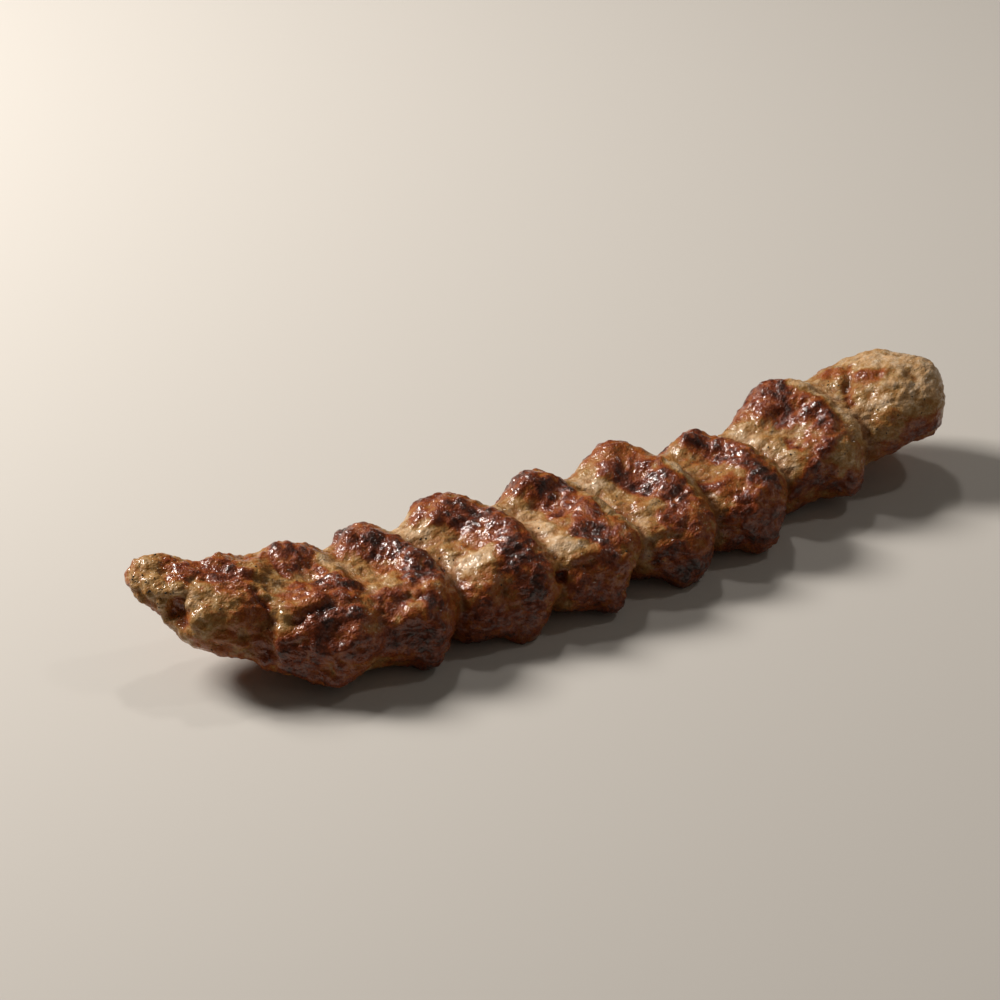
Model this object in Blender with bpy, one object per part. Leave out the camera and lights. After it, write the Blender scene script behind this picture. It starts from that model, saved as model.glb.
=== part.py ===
"""Kofta skewer: minced meat grilled on a flat skewer and drawn off it in one length.

The meat is one solid. Fingers pressed it round the skewer at even steps, which left a row of
slanting lobes along the strip. Each lobe has a knob on its far side, a ridge along its right
edge that runs down into a bulge with a pinched corner on its near side, a heel at its near left
corner, a shallow thumb dent left of the ridge, and a web behind that joins its knob to the
next. The strip lies on its middle lobes, and both of its ends curl up and away from the near
side.

Frame: +X along the strip towards its round end knob, +Y to the far side, +Z up. The origin is
at the centre of the bounding box's underside. Lengths in this file are in millimetres, and
curl() hands over metres.
"""

from collections import namedtuple

import bmesh
import bpy
import numpy as np

MM = 0.001

OBJECT_NAME = "kofta"
COLLECTION_NAME = "kofta_skewer"

# One row for each lobe, from the tapered end to the end knob.
#   place      where its middle is along the strip
#   span       its width along the strip
#   far, near  how far it reaches to each side of the skewer's line
#   top, base  its highest and lowest points, before the underside is pressed flat
#   lean       how far right its near bulge sits, as a share of the span
#   skew       how much it slants, in millimetres along for each millimetre across
#   dent       depth of the thumb dent; nought leaves a plain lump
Lobe = namedtuple("Lobe", "place span far near top base lean skew dent")
LOBES = (
    Lobe(-95.5, 18.0, 9.5, 5.5, 16.5, 4.0, 0.00, 0.10, 0.0),
    Lobe(-84.0, 24.0, 11.0, 15.5, 19.0, -1.0, 0.20, 0.26, 0.0),
    Lobe(-65.5, 24.0, 17.0, 23.0, 20.0, -3.0, 0.22, 0.02, 2.4),
    Lobe(-46.5, 25.0, 20.0, 23.8, 22.0, -3.0, 0.22, 0.06, 2.3),
    Lobe(-20.0, 27.5, 20.0, 25.0, 22.5, -3.0, 0.24, 0.06, 2.7),
    Lobe(5.5, 26.0, 19.5, 24.7, 22.0, -3.0, 0.22, 0.07, 2.5),
    Lobe(30.5, 26.0, 19.5, 24.0, 22.0, -3.0, 0.20, 0.07, 2.7),
    Lobe(54.5, 25.0, 18.5, 20.0, 21.5, -3.0, 0.20, 0.04, 2.4),
    Lobe(83.0, 27.5, 19.5, 16.5, 21.5, -3.0, 0.26, -0.12, 2.7),
    Lobe(108.5, 27.5, 18.0, 17.5, 22.0, -1.0, 0.30, 0.02, 1.4),
)

SKEWER_HEIGHT = 10.5      # height of the line that the skewer was drawn from
TOP_LEAN = 0.32           # how far the lobes' tops lean right, for each millimetre up
SECTION_POWER = 2.6       # a lobe's section is this much squarer than an oval (2 is an oval)
FULL_LOBE_DENT = 2.0      # a lobe with a deeper dent than this is a full one, with all its lumps
LUMP_SOFTNESS = 1.0       # how widely neighbouring lumps run together
DENT_SOFTNESS = 0.9       # how rounded the rim of a dent is

# How the ends curl: rise or sway = height * (distance past the start / length) ** power.
Curl = namedtuple("Curl", "start length height power")
LEFT_RISE = Curl(43.0, 60.0, 14.0, 1.6)
RIGHT_RISE = Curl(55.0, 66.0, 11.0, 1.7)
LEFT_SWAY = Curl(52.0, 50.0, 14.0, 1.4)
RIGHT_SWAY = Curl(55.0, 60.0, 6.5, 1.3)

# The skin's mesh.
RINGS = 108               # steps from one end to the other
SIDES = 42                # steps round the strip
END_SHARE = 0.07          # share of the rings that rounds off each end
REACH = 34.0              # further from the skewer's line than any of the skin
COARSE_STEPS = 44
HALVINGS = 14
SLOPE_STEP = 5.0

MEAT_COLOUR = (0.216, 0.087, 0.033, 1.0)
MEAT_ROUGHNESS = 0.45


def oval(points, centre, radii, power=2.0):
    """Signed distance, near enough, to an oval: under nought inside it."""
    offset = np.abs((points - np.array(centre)) / np.array(radii))
    across = (offset[..., 1] ** power + offset[..., 2] ** power) ** (1.0 / power)
    return (np.sqrt(offset[..., 0] ** 2 + across ** 2) - 1.0) * min(radii)


def run_together(fields, softness):
    """The union of shapes, with soft valleys: a minimum whose corners are rounded."""
    stack = np.stack(fields)
    least = stack.min(axis=0)
    return least - softness * np.log(np.exp((least - stack) / softness).sum(axis=0))


def hand_made(points):
    """Shift points by a few slow waves, so that no two lobes come out the same."""
    x = points[..., 0]
    y = points[..., 1]
    z = points[..., 2]
    along = 0.9 * np.sin(y / 6.1 + 0.7 * np.sin(x / 11.0)) + 0.5 * np.sin(x / 7.3 + y / 9.0 + z / 5.0)
    across = 0.9 * np.sin(x / 8.3 + 1.3) + 0.7 * np.sin(x / 4.7 + z / 6.0)
    up = 0.7 * np.sin(x / 9.7 + y / 7.9) + 0.35 * np.sin(x / 3.9 - y / 4.3)
    return points + np.stack([along, across, up], axis=-1)


def lobe_lumps(lobe, points):
    """The lumps of meat that make up one lobe. Points are measured from its middle.

    Every lobe has a body. One with a dent has a bulge on its near side, and a full lobe also has
    its knob, ridge, corner, heel and web.
    """
    middle = (lobe.far - lobe.near) / 2.0
    half_width = (lobe.far + lobe.near) / 2.0
    half_height = (lobe.top - lobe.base) / 2.0
    span = lobe.span
    body = oval(points, (0.0, middle, lobe.top - half_height),
                (0.60 * span, half_width - 1.0, half_height - 1.0), SECTION_POWER)
    lumps = [body]
    if lobe.dent > 0.0:
        lumps.append(oval(points, (lobe.lean * span, 10.5 - lobe.near, lobe.top - 12.0),
                          (0.33 * span, 11.0, 10.0)))
    if lobe.dent > FULL_LOBE_DENT:
        knob = oval(points, (-0.04 * span, lobe.far - 8.5, lobe.top - 8.0),
                    (0.36 * span, 9.0, 9.0))
        ridge = oval(points, (0.16 * span, middle - 1.0, lobe.top - 7.5),
                     (0.25 * span, 0.86 * half_width, 8.2))
        corner = oval(points, ((lobe.lean + 0.02) * span, 5.0 - lobe.near, 4.5),
                      (0.19 * span, 6.5, 5.5))
        heel = oval(points, (-0.22 * span, 14.0 - lobe.near, lobe.top - 12.5),
                    (0.28 * span, 9.5, 9.5))
        web = oval(points, (0.0, lobe.far - 9.5, lobe.top - 11.0), (0.78 * span, 7.5, 8.0))
        lumps += [knob, ridge, corner, heel, web]
    return lumps


def thumb_dent(lobe, points):
    """The space that the thumb left, which is taken out of the lobe's top."""
    depth = 7.0
    return oval(points, (-0.16 * lobe.span, 2.0, lobe.top + depth - lobe.dent),
                (0.30 * lobe.span, 9.0, depth))


def meat(points):
    """Under nought inside the strip as it lay straight on the skewer."""
    pressed = hand_made(points)
    lumps = []
    dents = []
    for lobe in LOBES:
        local = pressed.copy()
        local[..., 0] += lobe.skew * pressed[..., 1] - lobe.place
        local[..., 0] -= TOP_LEAN * (pressed[..., 2] - SKEWER_HEIGHT)
        lumps += lobe_lumps(lobe, local)
        if lobe.dent > 0.0:
            dents.append(thumb_dent(lobe, local))
    solid = run_together(lumps, LUMP_SOFTNESS)
    return -run_together([-solid] + dents, DENT_SOFTNESS)


def rays(along, around):
    """Start and direction of the ray that finds each point of the skin.

    Rays leave the skewer's line square to it, and fan out round both of its ends. along runs
    from 0 at the tapered end to 1 at the knob, and around is the angle about the line.
    """
    first = LOBES[0].place
    last = LOBES[-1].place
    share = np.clip((along - END_SHARE) / (1.0 - 2.0 * END_SHARE), 0.0, 1.0)
    start_fan = np.clip(1.0 - along / END_SHARE, 0.0, 1.0)
    end_fan = np.clip(1.0 - (1.0 - along) / END_SHARE, 0.0, 1.0)
    tilt = (end_fan - start_fan) * np.pi / 2.0
    heights = np.full_like(along, SKEWER_HEIGHT)
    starts = np.stack([first + (last - first) * share, np.zeros_like(along), heights], axis=-1)
    directions = np.stack([np.sin(tilt), np.cos(tilt) * np.cos(around),
                           np.cos(tilt) * np.sin(around)], axis=-1)
    return starts, directions


def skin(along, around):
    """Points of the straight strip's skin, with its underside pressed flat at height nought.

    Each ray is walked outwards in even steps to the last one that is still in the meat, and the
    step past it is halved until the skin is found.
    """
    starts, directions = rays(along, around)
    inside = np.zeros_like(along)
    for distance in np.linspace(0.0, REACH, COARSE_STEPS):
        within = meat(starts + distance * directions) < 0.0
        inside = np.where(within, distance, inside)
    outside = inside + REACH / (COARSE_STEPS - 1)
    for _ in range(HALVINGS):
        halfway = (inside + outside) / 2.0
        within = meat(starts + halfway[..., None] * directions) < 0.0
        inside = np.where(within, halfway, inside)
        outside = np.where(within, outside, halfway)
    points = starts + inside[..., None] * directions
    points[..., 2] = np.maximum(points[..., 2], 0.0)
    return points


def past_start(curl, distance):
    """One end's rise or sway, at a distance from the middle towards that end."""
    share = np.clip((distance - curl.start) / curl.length, 0.0, None)
    return curl.height * share ** curl.power


def rise(x):
    """Height of the curled strip's line above the straight one's."""
    return past_start(LEFT_RISE, -x) + past_start(RIGHT_RISE, x)


def sway(x):
    """How far the curled strip's line runs to the far side."""
    return past_start(LEFT_SWAY, -x) + past_start(RIGHT_SWAY, x)


def slope(curve, x):
    """Steepness of rise or sway over SLOPE_STEP to each side.

    A sudden start of the curl would fold the far side over itself.
    """
    return (curve(x + SLOPE_STEP) - curve(x - SLOPE_STEP)) / (2.0 * SLOPE_STEP)


def curl(points):
    """Curl the ends, with each section kept square to the line; the result is in metres.

    The curled strip is then moved so that its box is centred on the origin, standing on it.
    """
    x = points[..., 0]
    y = points[..., 1]
    z = points[..., 2]
    curled = points.copy()
    curled[..., 0] -= y * slope(sway, x) + (z - SKEWER_HEIGHT) * slope(rise, x)
    curled[..., 1] += sway(x)
    curled[..., 2] += rise(x)
    flat = curled.reshape(-1, 3)
    middle = (flat.min(axis=0) + flat.max(axis=0)) / 2.0
    middle[2] = flat[:, 2].min()
    return (curled - middle) * MM


def make_meat_material():
    """Seared minced meat: brown, and half glossy with its own fat."""
    material = bpy.data.materials.new("seared_mince")
    material.use_nodes = True
    shader = material.node_tree.nodes["Principled BSDF"]
    shader.inputs["Base Color"].default_value = MEAT_COLOUR
    shader.inputs["Roughness"].default_value = MEAT_ROUGHNESS
    shader.inputs["Metallic"].default_value = 0.0
    return material


def make_meat(collection):
    """The strip: a sphere whose poles become the two ends, drawn out onto the skin."""
    ball = bmesh.new()
    bmesh.ops.create_uvsphere(ball, u_segments=SIDES, v_segments=RINGS, radius=1.0)
    unit = np.array([vertex.co[:] for vertex in ball.verts])
    along = np.arccos(np.clip(-unit[:, 2], -1.0, 1.0)) / np.pi
    around = np.arctan2(unit[:, 1], unit[:, 0])
    for vertex, place in zip(ball.verts, curl(skin(along, around))):
        vertex.co = place
    mesh = bpy.data.meshes.new(OBJECT_NAME)
    ball.to_mesh(mesh)
    ball.free()
    mesh.shade_smooth()
    mesh.materials.append(make_meat_material())
    strip = bpy.data.objects.new(OBJECT_NAME, mesh)
    collection.objects.link(strip)
    return strip


def main():
    for old in list(bpy.data.objects):
        bpy.data.objects.remove(old, do_unlink=True)
    collection = bpy.data.collections.new(COLLECTION_NAME)
    bpy.context.scene.collection.children.link(collection)
    make_meat(collection)


main()
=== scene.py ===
"""Looks of one grilled kofta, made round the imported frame: its meat, its pepper flecks and a stage.

The file is laid out as an add-on and is run as a script. Each piece has an operator, whose sizes
and colours are properties, and a panel in the 3D view's sidebar lists them all.
"""

from collections import namedtuple

import bpy
import numpy as np
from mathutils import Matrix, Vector


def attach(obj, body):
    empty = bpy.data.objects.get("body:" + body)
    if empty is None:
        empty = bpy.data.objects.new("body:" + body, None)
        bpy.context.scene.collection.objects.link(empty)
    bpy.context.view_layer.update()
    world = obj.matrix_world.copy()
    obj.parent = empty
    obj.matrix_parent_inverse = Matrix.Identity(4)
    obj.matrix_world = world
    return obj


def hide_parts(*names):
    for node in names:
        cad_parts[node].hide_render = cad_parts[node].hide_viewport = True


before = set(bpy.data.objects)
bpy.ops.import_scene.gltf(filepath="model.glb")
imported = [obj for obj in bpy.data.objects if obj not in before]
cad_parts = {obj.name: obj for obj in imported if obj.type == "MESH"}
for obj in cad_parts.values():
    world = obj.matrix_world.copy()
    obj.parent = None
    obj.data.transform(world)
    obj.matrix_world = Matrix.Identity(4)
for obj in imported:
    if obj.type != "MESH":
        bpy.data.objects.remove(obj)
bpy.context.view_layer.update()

bl_info = {
    "name": "Kofta skewer",
    "version": (1, 0, 0),
    "blender": (4, 5, 0),
    "location": "3D View > Sidebar > Kofta",
    "description": "Makes a grilled kofta and a stage to look at it on",
    "category": "Add Mesh",
}

NODE = "kofta"
BODY = "root"
MM = 0.001

# ---------------------------------------------------------------------------------------------
# The strip's form, in millimetres. It is the form of the solid that the meat replaces.
# ---------------------------------------------------------------------------------------------

# One row for each lobe, from the tapered end to the end knob.
#   place      where its middle is along the strip
#   span       its width along the strip
#   far, near  how far it reaches to each side of the skewer's line
#   top, base  its highest and lowest points, before the underside is pressed flat
#   lean       how far right its near bulge sits, as a share of the span
#   skew       how much it slants, in millimetres along for each millimetre across
#   dent       depth of the thumb dent; nought leaves a plain lump
Lobe = namedtuple("Lobe", "place span far near top base lean skew dent")
LOBES = (
    Lobe(-95.5, 18.0, 9.5, 5.5, 16.5, 4.0, 0.00, 0.10, 0.0),
    Lobe(-84.0, 24.0, 11.0, 15.5, 19.0, -1.0, 0.20, 0.26, 0.0),
    Lobe(-65.5, 24.0, 17.0, 23.0, 20.0, -3.0, 0.22, 0.02, 2.4),
    Lobe(-46.5, 25.0, 20.0, 23.8, 22.0, -3.0, 0.22, 0.06, 2.3),
    Lobe(-20.0, 27.5, 20.0, 25.0, 22.5, -3.0, 0.24, 0.06, 2.7),
    Lobe(5.5, 26.0, 19.5, 24.7, 22.0, -3.0, 0.22, 0.07, 2.5),
    Lobe(30.5, 26.0, 19.5, 24.0, 22.0, -3.0, 0.20, 0.07, 2.7),
    Lobe(54.5, 25.0, 18.5, 20.0, 21.5, -3.0, 0.20, 0.04, 2.4),
    Lobe(83.0, 27.5, 19.5, 16.5, 21.5, -3.0, 0.26, -0.12, 2.7),
    Lobe(108.5, 27.5, 18.0, 17.5, 22.0, -1.0, 0.30, 0.02, 1.4),
)
SKEWER_HEIGHT = 10.5
TOP_LEAN = 0.32
SECTION_POWER = 2.6
FULL_LOBE_DENT = 2.0
LUMP_SOFTNESS = 1.0
DENT_SOFTNESS = 0.9

# How the ends curl: rise or sway = height * (distance past the start / length) ** power.
Curl = namedtuple("Curl", "start length height power")
LEFT_RISE = Curl(43.0, 60.0, 14.0, 1.6)
RIGHT_RISE = Curl(55.0, 66.0, 11.0, 1.7)
LEFT_SWAY = Curl(52.0, 50.0, 14.0, 1.4)
RIGHT_SWAY = Curl(55.0, 60.0, 6.5, 1.3)
SLOPE_STEP = 5.0

# The grid of the skin. The first march is coarse, and the fine grid starts from its result.
RINGS = 480
SIDES = 206
END_SHARE = 0.09
COARSE_RINGS = 120
COARSE_SIDES = 60
REACH = 34.0
MARCH_STEPS = 44
HALVINGS = 10
BRACKET = 1.2
ASPECT = 0.5
CROWDING = 0.35


def oval(points, centre, radii, power=2.0):
    """Signed distance, near enough, to an oval: under nought inside it."""
    offset = np.abs((points - np.array(centre)) / np.array(radii))
    across = (offset[..., 1] ** power + offset[..., 2] ** power) ** (1.0 / power)
    return (np.sqrt(offset[..., 0] ** 2 + across ** 2) - 1.0) * min(radii)


def run_together(fields, softness):
    """Union with soft valleys: least - softness * log(sum(exp((least - field) / softness)))."""
    stack = np.stack(fields)
    least = stack.min(axis=0)
    return least - softness * np.log(np.exp((least - stack) / softness).sum(axis=0))


def hand_made(points):
    """Points shifted by a few slow sine waves, so that no two lobes come out the same."""
    x = points[..., 0]
    y = points[..., 1]
    z = points[..., 2]
    along = 0.9 * np.sin(y / 6.1 + 0.7 * np.sin(x / 11.0)) + 0.5 * np.sin(x / 7.3 + y / 9.0 + z / 5.0)
    across = 0.9 * np.sin(x / 8.3 + 1.3) + 0.7 * np.sin(x / 4.7 + z / 6.0)
    up = 0.7 * np.sin(x / 9.7 + y / 7.9) + 0.35 * np.sin(x / 3.9 - y / 4.3)
    return points + np.stack([along, across, up], axis=-1)


def lobe_lumps(lobe, points):
    """The lumps that make up one lobe. Points are measured from its middle.

    Every lobe has a body. One with a dent has a bulge on its near side, and a full lobe also has
    its far knob, right ridge, pinched near corner, near heel and the web to the next knob.
    """
    middle = (lobe.far - lobe.near) / 2.0
    half_width = (lobe.far + lobe.near) / 2.0
    half_height = (lobe.top - lobe.base) / 2.0
    span = lobe.span
    body = oval(points, (0.0, middle, lobe.top - half_height),
                (0.60 * span, half_width - 1.0, half_height - 1.0), SECTION_POWER)
    lumps = [body]
    if lobe.dent > 0.0:
        lumps.append(oval(points, (lobe.lean * span, 10.5 - lobe.near, lobe.top - 12.0),
                          (0.33 * span, 11.0, 10.0)))
    if lobe.dent > FULL_LOBE_DENT:
        knob = oval(points, (-0.04 * span, lobe.far - 8.5, lobe.top - 8.0),
                    (0.36 * span, 9.0, 9.0))
        ridge = oval(points, (0.16 * span, middle - 1.0, lobe.top - 7.5),
                     (0.25 * span, 0.86 * half_width, 8.2))
        corner = oval(points, ((lobe.lean + 0.02) * span, 5.0 - lobe.near, 4.5),
                      (0.19 * span, 6.5, 5.5))
        heel = oval(points, (-0.22 * span, 14.0 - lobe.near, lobe.top - 12.5),
                    (0.28 * span, 9.5, 9.5))
        web = oval(points, (0.0, lobe.far - 9.5, lobe.top - 11.0), (0.78 * span, 7.5, 8.0))
        lumps += [knob, ridge, corner, heel, web]
    return lumps


def thumb_dent(lobe, points):
    """The space that the thumb left in the lobe's top: an oval, taken out of it."""
    depth = 7.0
    return oval(points, (-0.16 * lobe.span, 2.0, lobe.top + depth - lobe.dent),
                (0.30 * lobe.span, 9.0, depth))


def meat_field(points):
    """Under nought inside the straight strip: all the lumps run together, less the dents."""
    pressed = hand_made(points)
    lumps = []
    dents = []
    for lobe in LOBES:
        local = pressed.copy()
        local[..., 0] += lobe.skew * pressed[..., 1] - lobe.place
        local[..., 0] -= TOP_LEAN * (pressed[..., 2] - SKEWER_HEIGHT)
        lumps += lobe_lumps(lobe, local)
        if lobe.dent > 0.0:
            dents.append(thumb_dent(lobe, local))
    solid = run_together(lumps, LUMP_SOFTNESS)
    return -run_together([-solid] + dents, DENT_SOFTNESS)


def rays(along, turn):
    """Start and direction of the ray to each point of the skin, along in 0..1 and turn in 0..1.

    Rays leave the skewer's line square to it, and fan out round both of its ends. The angle is
    that of an oval, atan2(ASPECT * sin, cos), which spaces the points evenly on a flat section,
    after CROWDING * cos has drawn them together on its top.
    """
    first = LOBES[0].place
    last = LOBES[-1].place
    share = np.clip((along - END_SHARE) / (1.0 - 2.0 * END_SHARE), 0.0, 1.0)
    start_fan = np.clip(1.0 - along / END_SHARE, 0.0, 1.0)
    end_fan = np.clip(1.0 - (1.0 - along) / END_SHARE, 0.0, 1.0)
    tilt = (end_fan - start_fan) * np.pi / 2.0
    angle = 2.0 * np.pi * turn
    angle = angle + CROWDING * np.cos(angle)
    around = np.arctan2(ASPECT * np.sin(angle), np.cos(angle))
    heights = np.full_like(along, SKEWER_HEIGHT)
    starts = np.stack([first + (last - first) * share, np.zeros_like(along), heights], axis=-1)
    directions = np.stack([np.sin(tilt), np.cos(tilt) * np.cos(around),
                           np.cos(tilt) * np.sin(around)], axis=-1)
    return starts, directions


def halve(starts, directions, inside, outside, times):
    """Distance to the skin along each ray, between one inside the meat and one outside it."""
    for _ in range(times):
        halfway = (inside + outside) / 2.0
        within = meat_field(starts + halfway[..., None] * directions) < 0.0
        inside = np.where(within, halfway, inside)
        outside = np.where(within, outside, halfway)
    return (inside + outside) / 2.0


def grid(rings, sides):
    """Two parameters on a grid: along from pole to pole, without the poles, and turn round it."""
    along = (np.arange(rings) + 0.5) / rings
    turn = np.arange(sides) / sides
    return np.meshgrid(along, turn, indexing="ij")


def resample(values, along, turn):
    """Values on a coarse grid, read at other parameters by going straight between its points."""
    rings, sides = values.shape
    row = np.clip(along * rings - 0.5, 0.0, rings - 1.001)
    column = turn * sides
    low_row = row.astype(int)
    low_column = column.astype(int)
    row_share = row - low_row
    column_share = column - low_column
    result = np.zeros_like(along)
    for row_step in (0, 1):
        for column_step in (0, 1):
            weight = np.abs(1 - row_step - row_share) * np.abs(1 - column_step - column_share)
            result += weight * values[low_row + row_step, (low_column + column_step) % sides]
    return result


def smooth_skin():
    """Ray starts, ray directions and distances to the smooth skin, on the fine grid.

    A coarse grid is marched outwards in even steps to the last one inside the meat. The fine
    grid halves the space round that result.
    """
    starts, directions = rays(*grid(COARSE_RINGS, COARSE_SIDES))
    inside = np.zeros(starts.shape[:-1])
    for distance in np.linspace(0.0, REACH, MARCH_STEPS):
        within = meat_field(starts + distance * directions) < 0.0
        inside = np.where(within, distance, inside)
    coarse = halve(starts, directions, inside, inside + REACH / (MARCH_STEPS - 1), HALVINGS)
    along, turn = grid(RINGS, SIDES)
    starts, directions = rays(along, turn)
    guess = resample(coarse, along, turn)
    distances = halve(starts, directions, guess - BRACKET, guess + BRACKET, HALVINGS)
    return starts, directions, distances


def past_start(curl, distance):
    """One end's rise or sway, at a distance from the middle towards that end."""
    share = np.clip((distance - curl.start) / curl.length, 0.0, None)
    return curl.height * share ** curl.power


def rise(x):
    """Height of the curled strip's line above the straight one's."""
    return past_start(LEFT_RISE, -x) + past_start(RIGHT_RISE, x)


def sway(x):
    """How far the curled strip's line runs to the far side."""
    return past_start(LEFT_SWAY, -x) + past_start(RIGHT_SWAY, x)


def slope(curve, x):
    """Steepness of rise or sway over SLOPE_STEP to each side.

    A sudden start of the curl would fold the far side over itself.
    """
    return (curve(x + SLOPE_STEP) - curve(x - SLOPE_STEP)) / (2.0 * SLOPE_STEP)


def curl(points):
    """The straight strip with its ends curled, and each section kept square to the line."""
    x = points[..., 0]
    y = points[..., 1]
    z = points[..., 2]
    curled = points.copy()
    curled[..., 0] -= y * slope(sway, x) + (z - SKEWER_HEIGHT) * slope(rise, x)
    curled[..., 1] += sway(x)
    curled[..., 2] += rise(x)
    return curled


def centre_of(points):
    """Middle of the points' box, at its lowest height: the origin that the solid was given."""
    flat = points.reshape(-1, 3)
    middle = (flat.min(axis=0) + flat.max(axis=0)) / 2.0
    middle[2] = 0.0
    return middle


# ---------------------------------------------------------------------------------------------
# Noise, worked out in whole arrays
# ---------------------------------------------------------------------------------------------

def scatter(cells, seed):
    """A number from 0 to 1 for each cell of whole numbers.

    The three indices and the seed are multiplied by large odd numbers and their bits are mixed.
    """
    index = cells.astype(np.int64).astype(np.uint32)
    mixed = index[..., 0] * np.uint32(0x8DA6B343)
    mixed ^= index[..., 1] * np.uint32(0xD8163841)
    mixed ^= index[..., 2] * np.uint32(0xCB1AB31F)
    mixed ^= np.uint32((seed * 0x9E3779B1) % 2 ** 32)
    mixed ^= mixed >> np.uint32(15)
    mixed *= np.uint32(0x2C1B3C6D)
    mixed ^= mixed >> np.uint32(12)
    mixed *= np.uint32(0x297A2D39)
    mixed ^= mixed >> np.uint32(15)
    return mixed / 2.0 ** 32


def corners():
    """The eight corners of a unit cell."""
    return [(i, j, k) for i in (0, 1) for j in (0, 1) for k in (0, 1)]


def neighbours():
    """The 27 cells round a cell, itself among them."""
    steps = (-1, 0, 1)
    return [(i, j, k) for i in steps for j in steps for k in steps]


def waves(points, size, seed):
    """Smooth noise from -1 to 1, whose bumps are about size across.

    Each corner of a lattice has a random value, and between corners they are mixed by
    6t^5 - 15t^4 + 10t^3 along each axis.
    """
    scaled = points / size
    cell = np.floor(scaled)
    share = scaled - cell
    eased = share ** 3 * (share * (share * 6.0 - 15.0) + 10.0)
    total = np.zeros(points.shape[:-1])
    for corner in corners():
        step = np.array(corner)
        weight = np.prod(np.where(step == 1, eased, 1.0 - eased), axis=-1)
        total += weight * scatter(cell + step, seed)
    return 2.0 * total - 1.0


def layered(points, size, seed, layers=3):
    """Waves of several sizes added up, each half as large and half as strong as the last."""
    total = np.zeros(points.shape[:-1])
    strength = 1.0
    for layer in range(layers):
        total += strength * waves(points, size / 2.0 ** layer, seed + layer)
        strength *= 0.5
    return total


def crumbs(points, size, seed, softness=0.12):
    """Rounded crumbs about size across with creases between them, from about -1 to 0.

    Each lattice cell holds one crumb at a random spot, and the height is the soft greatest of
    minus the squared distance to each crumb, in sizes.
    """
    scaled = points / size
    cell = np.floor(scaled)
    near = np.full(points.shape[:-1], 1e-9)
    for neighbour in neighbours():
        other = cell + np.array(neighbour)
        spot = np.stack([scatter(other, seed + axis) for axis in range(3)], axis=-1)
        squared = ((other + spot - scaled) ** 2).sum(axis=-1)
        near += np.exp(-squared / softness)
    return softness * np.log(near)


def wandering(points, size, strength, seed):
    """Points pushed about by waves, which makes lattice noise on them uneven."""
    push = np.stack([waves(points, size, seed + axis) for axis in range(3)], axis=-1)
    return points + strength * push


def ease(low, high, values):
    """0 under low, 1 over high, and 3t^2 - 2t^3 between them."""
    share = np.clip((values - low) / (high - low), 0.0, 1.0)
    return share * share * (3.0 - 2.0 * share)


def soften(values, times):
    """Values on the grid after averaging each with its neighbours, wrapped round the strip."""
    for _ in range(times):
        ends = np.concatenate([values[:1], values, values[-1:]])
        values = (ends[:-2] + 2.0 * values + ends[2:]) / 4.0
        values = (np.roll(values, 1, axis=1) + 2.0 * values + np.roll(values, -1, axis=1)) / 4.0
    return values


# ---------------------------------------------------------------------------------------------
# The meat's relief, browning and painted shade
# ---------------------------------------------------------------------------------------------

def normals_of(points):
    """Outward normals on the grid: the cross product of the steps along and round the strip."""
    ends = np.concatenate([points[:1], points, points[-1:]])
    along = ends[2:] - ends[:-2]
    around = np.roll(points, -1, axis=1) - np.roll(points, 1, axis=1)
    normal = np.cross(around, along)
    length = np.linalg.norm(normal, axis=-1, keepdims=True)
    return normal / np.maximum(length, 1e-9)


def bulge_of(points, normals, times):
    """How far the skin stands out of its own surroundings, in millimetres, under nought in dips."""
    return ((points - soften(points, times)) * normals).sum(axis=-1)
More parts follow.
